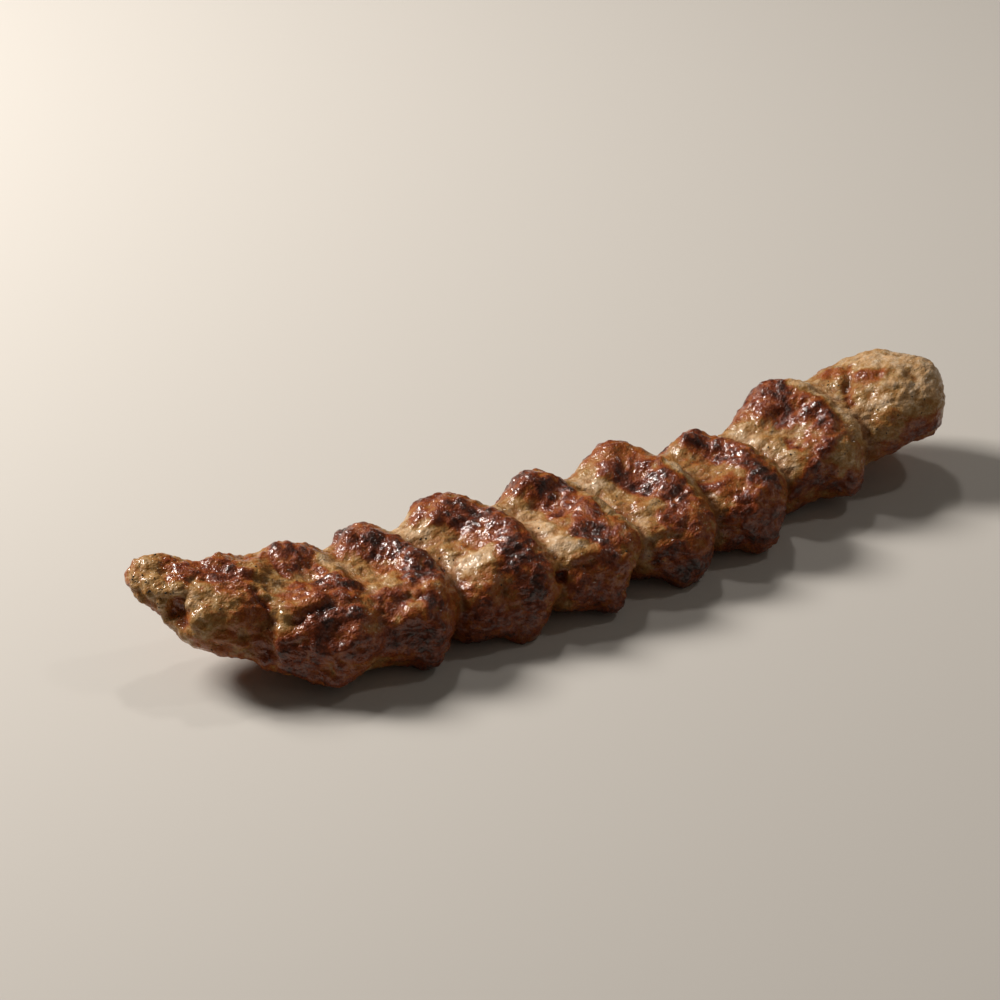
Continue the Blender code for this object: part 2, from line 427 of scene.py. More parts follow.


# Strokes of heat and of the hand, and some of painted shade. Each runs between two places on the skin,
# given by the distance along the strip and the distance round it from the skewer's line over the top,
# with the far side above nought. A stroke lays down its level, 0 pale to 1 black, over those before
# it, and raises the skin by its height, in millimetres, or sinks it. Some dark strokes are painted
# shadow, and the dark ones low on the near side are partly painted shade; each is marked below.
Stroke = namedtuple("Stroke", "x0 r0 x1 r1 width sear height")
STROKE_SPREAD = 1.15
STROKES = (
    # The tapered end: a browned back, pale crumbling lumps on the near side
    Stroke(-105, 1, -104, 2, 2.6, 0.32, 0.0),
    Stroke(-106, -3, -105, -5, 2.0, 0.45, 0.3),
    Stroke(-97, 2, -93, 2, 2.6, 0.60, 0.4),
    Stroke(-92, 4, -86, 2, 3.0, 0.62, 0.4),
    Stroke(-97, -1, -91, -3, 2.4, 0.62, 0.3),
    Stroke(-87, -2, -80, -3, 2.6, 0.78, 0.4),
    Stroke(-102, -3, -100, -4, 2.2, 0.28, 0.8),
    Stroke(-98, -5, -98, -7, 2.2, 0.30, 0.8),
    Stroke(-95, -6, -89, -8, 2.8, 0.27, 0.8),
    Stroke(-87, -6, -84, -7, 1.6, 0.52, 0.2),
    Stroke(-86, -10, -84, -11, 2.4, 0.34, 0.6),
    Stroke(-92, -14, -90, -16, 2.6, 0.30, 0.8),
    Stroke(-96, -7, -96, -12, 1.2, 0.52, -1.6),
    Stroke(-94, -11, -93, -13, 1.1, 0.52, -1.1),
    Stroke(-82, -6, -78, -7, 2.0, 0.58, 0.2),
    Stroke(-79, -7, -78, -12, 1.1, 0.66, -1.0),
    Stroke(-82, -13, -78, -18, 3.2, 0.54, 0.2),
    # Second lobe
    Stroke(-82, 3, -79, 1, 2.4, 0.40, 0.0),
    Stroke(-78, 7, -73, 6, 2.6, 0.58, 0.3),
    Stroke(-71, 9, -68, 7, 2.8, 0.84, 0.8),
    Stroke(-73, 3, -71, 1, 2.0, 0.66, -0.3),
    Stroke(-68, 4, -62, 0, 2.6, 0.64, 0.5),
    Stroke(-78, -3, -75, -5, 2.8, 0.30, -0.6),
    Stroke(-70, -5, -67, -6, 2.2, 0.62, 0.0),
    Stroke(-64, -6, -57, -8, 2.6, 0.86, 0.4),
    Stroke(-73, -9, -63, -10, 2.0, 0.56, 0.4),
    Stroke(-73, -13, -66, -13, 1.6, 0.46, 1.2),
    Stroke(-66, -13, -58, -13, 1.6, 0.58, 0.9),
    Stroke(-72, -16, -67, -16, 1.4, 0.56, -0.7),
    Stroke(-77, -8, -74, -16, 1.7, 0.30, 0.7),
    Stroke(-70, -19, -66, -19, 2.4, 0.70, 0.3),
    # Dark patch on the lower near flank: partly browned crust, partly painted shade.
    Stroke(-65, -17, -59, -19, 2.6, 0.86, 0.2),
    # Dark band low on the near side: partly the underside's browning, partly painted shade.
    Stroke(-72, -24, -60, -27, 4.5, 0.74, 0.0),
    # Third lobe
    Stroke(-58, 11, -55, 12, 3.0, 0.40, 0.0),
    Stroke(-59, 5, -57, 2, 2.8, 0.18, 0.0),
    Stroke(-51, 16, -47, 16, 2.6, 0.58, 0.3),
    Stroke(-50, 11, -45, 9, 3.4, 0.72, 0.6),
    Stroke(-45, 7, -40, 3, 3.4, 0.90, 0.4),
    Stroke(-41, 2, -37, -2, 2.8, 0.86, 0.4),
    Stroke(-37, 6, -33, 2, 2.2, 0.66, 0.2),
    Stroke(-56, -1, -50, -4, 3.0, 0.30, -0.8),
    Stroke(-46, -1, -42, -4, 2.4, 0.50, -0.2),
    Stroke(-49, -9, -46, -10, 2.4, 0.32, 0.6),
    Stroke(-39, -5, -33, -6, 2.4, 0.86, 0.3),
    Stroke(-41, -10, -35, -11, 2.6, 0.90, 0.1),
    Stroke(-52, -13, -47, -14, 2.2, 0.62, 0.8),
    Stroke(-44, -15, -43, -16, 1.8, 0.50, 0.7),
    Stroke(-39, -17, -37, -17, 1.8, 0.50, 0.7),
    Stroke(-52, -18, -50, -19, 2.2, 0.62, 0.3),
    # Dark patch on the lower near flank: partly browned crust, partly painted shade.
    Stroke(-43, -21, -39, -22, 2.6, 0.86, -0.3),
    Stroke(-48, -21, -45, -22, 2.0, 0.42, 0.7),
    # Dark band low on the near side: partly the underside's browning, partly painted shade.
    Stroke(-52, -25, -42, -32, 4.0, 0.74, 0.2),
    # Fourth lobe
    Stroke(-34, 11, -30, 6, 2.8, 0.14, 0.0),
    Stroke(-34, 6, -32, 3, 2.2, 0.20, 0.0),
    Stroke(-32, -1, -30, -3, 2.2, 0.32, 0.0),
    Stroke(-28, 12, -24, 10, 2.8, 0.62, 0.4),
    Stroke(-23, 10, -18, 9, 3.2, 0.80, 0.6),
    Stroke(-18, 6, -14, 2, 3.4, 0.90, 0.4),
    Stroke(-28, 3, -23, 0, 3.0, 0.36, -0.6),
    Stroke(-21, -3, -20, -5, 2.0, 0.44, -0.8),
    Stroke(-25, -5, -25, -6, 1.0, 0.55, -0.8),
    Stroke(-28, -7, -20, -12, 3.0, 0.10, 0.4),
    Stroke(-26, -15, -22, -16, 2.0, 0.40, 0.2),
    Stroke(-27, -18, -23, -20, 2.4, 0.56, 0.6),
    Stroke(-30, -22, -25, -23, 1.6, 0.74, 0.3),
    Stroke(-17, -3, -16, -6, 1.6, 0.58, 0.3),
    Stroke(-14, -2, -11, -7, 2.6, 0.72, 0.5),
    Stroke(-13, -9, -10, -14, 2.8, 0.78, 0.4),
    # Dark patch on the lower near flank: partly browned crust, partly painted shade.
    Stroke(-15, -14, -12, -21, 3.2, 0.90, 0.2),
    # Dark patch on the lower near flank: partly browned crust, partly painted shade.
    Stroke(-13, -22, -13, -28, 3.4, 0.82, 0.1),
    Stroke(-18, -13, -17, -15, 1.4, 0.48, 0.0),
    Stroke(-20, -20, -19, -24, 2.4, 0.50, 0.0),
    # Dark band low on the near side: partly the underside's browning, partly painted shade.
    Stroke(-27, -28, -20, -32, 3.6, 0.70, 0.2),
    # Fifth lobe
    Stroke(-7, 10, -6, 2, 2.4, 0.16, 0.0),
    Stroke(-5, 14, 0, 10, 3.0, 0.32, 0.0),
    Stroke(0, 14, 1, 12, 1.8, 0.54, 0.2),
    Stroke(4, 13, 8, 7, 3.4, 0.80, 0.7),
    Stroke(6, 9, 7, 8, 1.6, 0.92, 0.2),
    Stroke(10, 8, 13, 6, 2.4, 0.84, 0.4),
    # Painted shade: dark under the fifth lobe's crown.
    Stroke(4, 2, 6, -1, 2.4, 0.80, -0.2),
    Stroke(-4, 5, 1, 2, 3.0, 0.24, -0.8),
    Stroke(-3, -5, 0, -7, 2.4, 0.14, 0.7),
    Stroke(-1, -11, 2, -16, 3.4, 0.13, 0.5),
    Stroke(4, -7, 5, -10, 2.0, 0.36, 0.0),
    Stroke(11, 0, 12, -5, 2.2, 0.72, 0.4),
    Stroke(10, -8, 12, -12, 2.4, 0.64, 0.5),
    # Painted shadow: the dark patch under the fifth lobe's ridge.
    Stroke(8, -14, 10, -18, 2.6, 0.88, 0.1),
    Stroke(1, -19, 7, -20, 1.5, 0.36, 0.5),
    Stroke(1, -22, 5, -23, 1.8, 0.56, -0.2),
    Stroke(-1, -27, 3, -28, 2.2, 0.70, 0.6),
    Stroke(10, -22, 11, -28, 2.6, 0.72, 0.2),
    Stroke(-4, -22, -4, -23, 1.1, 0.75, -1.6),
    # Dark band low on the near side: partly the underside's browning, partly painted shade.
    Stroke(4, -32, 9, -37, 3.4, 0.70, 0.0),
    # Sixth lobe
    Stroke(16, 4, 17, -9, 1.9, 0.22, 0.0),
    Stroke(19, 14, 23, 13, 2.4, 0.38, 0.0),
    Stroke(20, 9, 23, 6, 3.4, 0.14, 0.5),
    Stroke(27, 8, 30, 3, 3.0, 0.84, 0.6),
    # Painted shadow: the darkest spot, beside the sixth lobe's dimple.
    Stroke(30, -1, 31, -4, 1.8, 0.90, -0.6),
    Stroke(33, 1, 33, -1, 1.5, 0.42, -0.2),
    Stroke(22, 2, 26, -2, 2.8, 0.30, -0.7),
    Stroke(23, -6, 25, -8, 2.4, 0.40, 0.3),
    Stroke(28, -10, 31, -11, 2.0, 0.24, 0.3),
    Stroke(22, -12, 24, -15, 2.8, 0.24, 0.2),
    Stroke(34, 7, 38, 2, 1.8, 0.66, 0.4),
    Stroke(34, -1, 36, -5, 2.4, 0.90, 0.3),
    Stroke(36, -7, 38, -13, 3.2, 0.84, 0.4),
    Stroke(39, -5, 40, -10, 1.6, 0.66, 0.2),
    Stroke(26, -16, 28, -18, 2.0, 0.42, 0.5),
    Stroke(31, -15, 33, -18, 2.4, 0.76, 0.7),
    Stroke(35, -20, 37, -23, 2.4, 0.64, 0.4),
    Stroke(26, -24, 31, -25, 2.2, 0.80, 0.6),
    Stroke(24, -25, 24, -26, 1.0, 0.80, -1.2),
    Stroke(17, -21, 20, -23, 2.0, 0.54, 0.3),
    Stroke(14, -14, 17, -16, 1.8, 0.50, 0.2),
    # Dark band low on the near side: partly the underside's browning, partly painted shade.
    Stroke(28, -31, 36, -33, 4.0, 0.78, 0.1),
    # Seventh lobe
    Stroke(42, 4, 42, -3, 2.2, 0.18, 0.0),
    Stroke(43, -5, 45, -9, 2.2, 0.24, 0.0),
    Stroke(46, 11, 49, 10, 2.6, 0.38, 0.0),
    Stroke(53, 10, 54, 8, 1.6, 0.56, 0.2),
    Stroke(55, 11, 57, 3, 2.8, 0.88, 0.6),
    Stroke(50, 4, 52, 0, 2.2, 0.40, -0.3),
    Stroke(60, 7, 61, 1, 1.5, 0.62, 0.3),
    Stroke(61, -1, 63, -8, 1.6, 0.62, 0.3),
    Stroke(58, -1, 60, -5, 2.4, 0.84, 0.3),
    Stroke(60, -11, 62, -17, 3.2, 0.92, 0.3),
    Stroke(55, -6, 57, -10, 2.6, 0.32, -0.2),
    Stroke(48, -8, 51, -11, 2.2, 0.62, 0.6),
    Stroke(56, -16, 57, -18, 1.8, 0.56, 0.8),
    Stroke(60, -20, 61, -21, 1.8, 0.56, 0.6),
    Stroke(52, -18, 55, -21, 2.2, 0.76, 0.6),
    Stroke(56, -23, 58, -24, 1.8, 0.58, 0.4),
    Stroke(50, -22, 52, -24, 2.0, 0.72, 0.5),
    Stroke(41, -20, 45, -21, 1.8, 0.64, 0.2),
    # Dark band low on the near side: partly the underside's browning, partly painted shade.
    Stroke(52, -29, 60, -28, 3.8, 0.78, 0.1),
    # Eighth lobe
    Stroke(75, 15, 79, 12, 3.0, 0.58, 0.0),
    Stroke(84, 14, 87, 12, 2.4, 0.74, 0.5),
    Stroke(88, 9, 83, 3, 2.6, 0.88, 0.3),
    Stroke(81, 9, 82, 6, 2.2, 0.68, 0.2),
    Stroke(93, 10, 95, 7, 2.2, 0.20, 0.5),
    Stroke(71, 8, 72, 3, 2.6, 0.22, 0.2),
    Stroke(77, 5, 77, 4, 1.6, 0.46, 0.0),
    Stroke(73, -1, 79, -5, 3.2, 0.26, -0.4),
    Stroke(79, -3, 79, -4, 1.0, 0.58, -0.5),
    # Painted shadow: a small dark spot below the eighth lobe's crown.
    Stroke(77, -6, 78, -7, 1.3, 0.60, -0.3),
    Stroke(82, -7, 85, -7, 2.4, 0.46, -0.2),
    Stroke(90, 4, 92, -5, 2.0, 0.62, 0.3),
    Stroke(88, -1, 90, -7, 2.4, 0.84, 0.2),
    Stroke(91, -9, 91, -10, 1.6, 0.62, 0.2),
    Stroke(89, -13, 89, -14, 1.3, 0.56, 0.3),
    Stroke(74, -17, 79, -16, 2.2, 0.72, 0.6),
    Stroke(80, -14, 85, -13, 2.2, 0.74, 0.7),
    Stroke(79, -20, 82, -20, 2.0, 0.74, 0.3),
    Stroke(88, -18, 88, -22, 2.8, 0.26, 0.0),
    # Dark band low on the near side: partly the underside's browning, partly painted shade.
    Stroke(82, -25, 87, -26, 2.6, 0.72, 0.0),
    # The neck and the end knob: mostly pale, with a crooked crease and one browned corner
    Stroke(97, 9, 98, -12, 3.0, 0.20, 0.0),
    Stroke(124, 12, 126, -26, 6.0, 0.22, 0.0),
    Stroke(111, 8, 118, -4, 6.0, 0.18, 0.0),
    Stroke(107, -11, 119, -16, 6.0, 0.18, 0.0),
    Stroke(104, 10, 107, 3, 2.6, 0.54, 0.2),
    Stroke(108, 0, 112, -4, 2.0, 0.56, 0.5),
    Stroke(108, 7, 103, 0, 1.3, 0.46, -1.0),
    Stroke(103, 0, 101, -4, 1.3, 0.42, -0.9),
    Stroke(105, -7, 111, -11, 1.4, 0.32, -0.7),
    Stroke(118, -9, 118, -10, 1.8, 0.28, -0.7),
    Stroke(115, -19, 115, -20, 1.2, 0.34, -0.5),
    Stroke(102, -13, 106, -16, 2.4, 0.34, 0.2),
    Stroke(105, -25, 111, -24, 2.2, 0.66, 0.4),
    Stroke(111, -27, 116, -26, 2.2, 0.74, 0.4),
    # The far side, from left to right
    Stroke(-85, 12, -81, 14, 2.4, 0.64, 0.2),
    Stroke(-69, 18, -65, 20, 2.6, 0.78, 0.3),
    Stroke(-59, 22, -57, 29, 2.2, 0.26, 0.0),
    Stroke(-50, 19, -46, 23, 3.0, 0.82, 0.3),
    Stroke(-44, 27, -41, 30, 2.6, 0.68, 0.2),
    Stroke(-34, 18, -33, 27, 2.2, 0.24, 0.0),
    Stroke(-24, 20, -21, 25, 2.8, 0.76, 0.2),
    Stroke(-17, 19, -14, 22, 2.0, 0.60, 0.3),
    Stroke(-9, 19, -8, 28, 2.4, 0.22, 0.0),
    Stroke(2, 19, 5, 24, 3.2, 0.88, 0.4),
    Stroke(8, 28, 11, 30, 2.4, 0.66, 0.2),
    Stroke(17, 18, 18, 26, 2.2, 0.28, 0.0),
    Stroke(27, 22, 32, 20, 2.6, 0.80, 0.3),
    Stroke(30, 28, 33, 31, 2.6, 0.62, 0.2),
    Stroke(42, 19, 43, 27, 2.4, 0.24, 0.0),
    Stroke(51, 19, 55, 25, 3.0, 0.86, 0.3),
    Stroke(66, 17, 68, 27, 2.8, 0.24, 0.0),
    Stroke(80, 20, 87, 24, 3.0, 0.82, 0.3),
    Stroke(88, 28, 91, 30, 2.4, 0.64, 0.2),
    Stroke(96, 18, 97, 26, 2.6, 0.24, 0.0),
    Stroke(104, 18, 110, 22, 3.0, 0.56, 0.2),
)


def roll_of(points):
    """Distance round each section from the skewer's line over the top; the far side is positive.

    The steps round the section are added up from its underside, less their sum up to the top.
    """
    quarter = SIDES // 4
    from_below = np.roll(points, quarter, axis=1)
    steps = np.linalg.norm(np.roll(from_below, -1, axis=1) - from_below, axis=-1)
    travelled = np.cumsum(steps, axis=1) - steps
    at_top = travelled[:, 2 * quarter]
    return np.roll(at_top[:, None] - travelled, -quarter, axis=1)


def lay_strokes(x, roll, sear):
    """Browning level, with its painted shade, and added height after every stroke.

    A stroke's weight is exp(-(distance / (spread * width)) ** 3), with the distance from the line
    between its two places.
    """
    height = np.zeros_like(sear)
    for stroke in STROKES:
        run = np.array([stroke.x1 - stroke.x0, stroke.r1 - stroke.r0], dtype=float)
        length = max((run ** 2).sum(), 1e-9)
        share = ((x - stroke.x0) * run[0] + (roll - stroke.r0) * run[1]) / length
        share = np.clip(share, 0.0, 1.0)
        distance = np.hypot(x - stroke.x0 - share * run[0], roll - stroke.r0 - share * run[1])
        weight = np.exp(-(distance / (STROKE_SPREAD * stroke.width)) ** 3)
        sear = sear + weight * (stroke.sear - sear)
        height = height + weight * stroke.height
    return sear, height


Relief = namedtuple("Relief", "points sear crease")


def make_relief(look):
    """Points of the finished skin with two numbers for each: how browned it is, with painted shade laid
    into the same number, and how creased it is, which sets painted shade in the creases.
    """
    starts, directions, distances = smooth_skin()
    smooth = starts + distances[..., None] * directions
    normals = normals_of(smooth)
    broad = bulge_of(smooth, normals, 160)
    stretched = smooth * np.array([0.75, 1.0, 1.0])
    loose_end = ease(-64.0, -84.0, smooth[..., 0])
    folds = layered(wandering(stretched, 7.0, 2.0, 71), 5.5, 81)
    lumps = crumbs(wandering(stretched, 5.0, 1.6, 11), 4.4, 21, 0.15) + 0.25
    granules = crumbs(wandering(smooth, 2.8, 0.9, 31), 2.2, 41, 0.09) + 0.17
    grains = crumbs(wandering(smooth, 1.9, 0.5, 35), 1.4, 45, 0.10) + 0.17
    fine = layered(smooth, 1.3, 61)
    shifted = wandering(smooth, 3.4, 1.4, 91) + 0.5 * waves(smooth, 1.5, 97)[..., None] - smooth
    x = smooth[..., 0] + shifted[..., 0]
    roll = roll_of(smooth)
    turned_under = ease(22.0, 32.0, np.abs(roll))
    far_side = ease(12.0, 22.0, roll)
    base = 0.38 + 0.07 * np.clip(broad, -2.0, 3.0) + 0.15 * layered(smooth, 8.0, 51)
    # Browner where the skin turns under: partly the underside's own browning from the grill, and on the
    # near side partly painted shade, where shade falls low on the flank.
    base += 0.08 * turned_under
    base += far_side * (0.16 * ease(0.3, 2.5, broad) + 0.16 * layered(smooth, 5.0, 57))
    sear, modelled = lay_strokes(x, roll + shifted[..., 1], base)
    crisp = np.clip(1.3 * sear - 0.1, 0.0, 1.0)
    height = modelled + look.lump_depth * (
        (0.22 + 0.68 * crisp) * folds + (1.1 + 0.7 * loose_end) * lumps)
    height += look.grain_depth * (
        (0.50 + 0.50 * crisp) * granules + (0.25 + 0.45 * crisp) * grains + 0.10 * fine)
    # Crumb heights shift the level: in the pale parts the crumb tops come out paler, a painted
    # highlight, and the dips between them golden, painted shade; in the crust the tops come out browner.
    sear = np.clip(sear + (crisp - 0.3) * (0.8 * granules + 0.4 * grains), 0.0, 1.0)
    sear = 0.2 * sear + 0.8 * ease(0.0, 1.0, sear)
    points = smooth + height[..., None] * normals
    # The crease number drives painted shade: the material darkens the colour towards the crease shade
    # tint in dips and creases.
    crease = np.clip(-1.8 * bulge_of(points, normals_of(points), 12) - 0.22 * broad, 0.0, 1.0)
    points[..., 2] = np.maximum(points[..., 2], 0.0)
    origin = centre_of(curl(np.where(smooth[..., 2:] < 0.0, smooth * [1, 1, 0], smooth)))
    return Relief((curl(points) - origin) * MM, sear, crease)


def closed_mesh(name, points):
    """A mesh of the grid's quads, closed by a fan of triangles at each pole."""
    rings, sides = points.shape[:2]
    poles = np.stack([points[0].mean(axis=0), points[-1].mean(axis=0)])
    vertices = np.concatenate([points.reshape(-1, 3), poles])
    ring, side = np.meshgrid(np.arange(rings - 1), np.arange(sides), indexing="ij")
    next_side = (side + 1) % sides
    quads = np.stack([ring * sides + side, ring * sides + next_side,
                      (ring + 1) * sides + next_side, (ring + 1) * sides + side], axis=-1)
    here = np.arange(sides)
    beyond = (here + 1) % sides
    first = np.full(sides, rings * sides)
    last_ring = (rings - 1) * sides
    start_fan = np.stack([first, beyond, here], axis=-1)
    end_fan = np.stack([first + 1, last_ring + here, last_ring + beyond], axis=-1)
    faces = [quads.reshape(-1, 4), start_fan, end_fan]
    return mesh_from(name, vertices, faces)


def mesh_from(name, vertices, groups):
    """A mesh of vertices and groups of faces, each an array with one row for each face."""
    mesh = bpy.data.meshes.new(name)
    sizes = np.concatenate([np.full(len(group), group.shape[1]) for group in groups])
    corner_list = np.concatenate([group.ravel() for group in groups])
    mesh.vertices.add(len(vertices))
    mesh.vertices.foreach_set("co", np.asarray(vertices, dtype=np.float32).ravel())
    mesh.loops.add(len(corner_list))
    mesh.loops.foreach_set("vertex_index", corner_list.astype(np.int32))
    mesh.polygons.add(len(sizes))
    mesh.polygons.foreach_set("loop_start", (np.cumsum(sizes) - sizes).astype(np.int32))
    mesh.update(calc_edges=True)
    mesh.validate()
    mesh.shade_smooth()
    return mesh


def add_number(mesh, name, values):
    """A number for each vertex of the grid, and its ring's mean at each pole."""
    poles = [values[0].mean(), values[-1].mean()]
    attribute = mesh.attributes.new(name, "FLOAT", "POINT")
    attribute.data.foreach_set("value", np.concatenate([values.ravel(), poles]).astype(np.float32))


def place_piece(piece):
    """Put a finished piece in the scene, on the kofta's one body."""
    bpy.context.scene.collection.objects.link(piece)
    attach(piece, BODY)


# ---------------------------------------------------------------------------------------------
# Pepper and herb flecks
# ---------------------------------------------------------------------------------------------

FLECK_SEED = 7
FLECK_CORNERS = 6
PALEST_CRUST = 0.45
LOWEST_NORMAL = -0.3


def fleck_places(skin, count):
    """Spots on the pale parts of the skin, and the outward normal at each."""
    places = np.empty(3 * len(skin.vertices), dtype=np.float32)
    normals = np.empty(3 * len(skin.vertices), dtype=np.float32)
    sear = np.empty(len(skin.vertices), dtype=np.float32)
    skin.vertices.foreach_get("co", places)
    skin.vertex_normals.foreach_get("vector", normals)
    skin.attributes["sear"].data.foreach_get("value", sear)
    places = places.reshape(-1, 3).astype(float)
    normals = normals.reshape(-1, 3).astype(float)
    pale = np.flatnonzero((sear < PALEST_CRUST) & (normals[:, 2] > LOWEST_NORMAL))
    chosen = np.random.default_rng(FLECK_SEED).choice(pale, size=count, replace=False)
    return places[chosen], normals[chosen]


def fleck_mesh(skin, look):
    """Flat flakes of pepper lying in the skin, joined into one mesh.

    Each has six corners round its middle, at uneven distances, and one corner above and one below
    it. Its length and width lie square to the skin's normal, and are turned at random.
    """
    centres, normals = fleck_places(skin, look.flecks)
    chance = np.random.default_rng(FLECK_SEED + 1)
    aside = np.cross(normals, chance.normal(size=normals.shape))
    aside /= np.linalg.norm(aside, axis=1, keepdims=True)
    across = np.cross(normals, aside)
    length = look.fleck_size * MM * chance.uniform(0.25, 0.5, size=(len(centres), 1))
    width = length * chance.uniform(0.4, 0.9, size=length.shape)
    thickness = 0.3 * width
    turn = 2.0 * np.pi * np.arange(FLECK_CORNERS) / FLECK_CORNERS
    uneven = chance.uniform(0.7, 1.0, size=(len(centres), FLECK_CORNERS))
    rim = (centres[:, None, :]
           + (uneven * np.cos(turn) * length)[..., None] * aside[:, None, :]
           + (uneven * np.sin(turn) * width)[..., None] * across[:, None, :])
    above = centres + normals * thickness
    below = centres - normals * thickness
    vertices = np.concatenate([rim, above[:, None, :], below[:, None, :]], axis=1)
    here = np.arange(FLECK_CORNERS)
    beyond = (here + 1) % FLECK_CORNERS
    upper = np.stack([here, beyond, np.full(FLECK_CORNERS, FLECK_CORNERS)], axis=-1)
    lower = np.stack([beyond, here, np.full(FLECK_CORNERS, FLECK_CORNERS + 1)], axis=-1)
    one = np.concatenate([upper, lower])
    offsets = (FLECK_CORNERS + 2) * np.arange(len(centres))
    faces = (one[None, :, :] + offsets[:, None, None]).reshape(-1, 3)
    return mesh_from("kofta_pepper", vertices.reshape(-1, 3), [faces])


# ---------------------------------------------------------------------------------------------
# Materials
# ---------------------------------------------------------------------------------------------

def linear(colour):
    """An sRGB hex colour as linear red, green, blue and alpha."""
    channels = np.array([int(colour[i:i + 2], 16) for i in (1, 3, 5)]) / 255.0
    light = np.where(channels <= 0.04045, channels / 12.92, ((channels + 0.055) / 1.055) ** 2.4)
    return (*light.tolist(), 1.0)


def add_node(tree, kind, settings=None, values=None, links=None):
    """A node with its settings, its sockets' values and what is linked into them."""
    node = tree.nodes.new(kind)
    for name, value in (settings or {}).items():
        setattr(node, name, value)
    for name, value in (values or {}).items():
        node.inputs[name].default_value = value
    for name, source in (links or {}).items():
        tree.links.new(source, node.inputs[name])
    return node


def set_ramp(node, stops):
    """Give a colour ramp its stops: pairs of a place and a linear colour."""
    ramp = node.color_ramp
    while len(ramp.elements) < len(stops):
        ramp.elements.new(0.5)
    for element, (place, colour) in zip(ramp.elements, stops):
        element.position = place
        element.color = colour


def new_material(name):
    """An empty node material with its output, and the tree that it is made in."""
    material = bpy.data.materials.new(name)
    material.use_nodes = True
    material.node_tree.nodes.clear()
    return material, material.node_tree


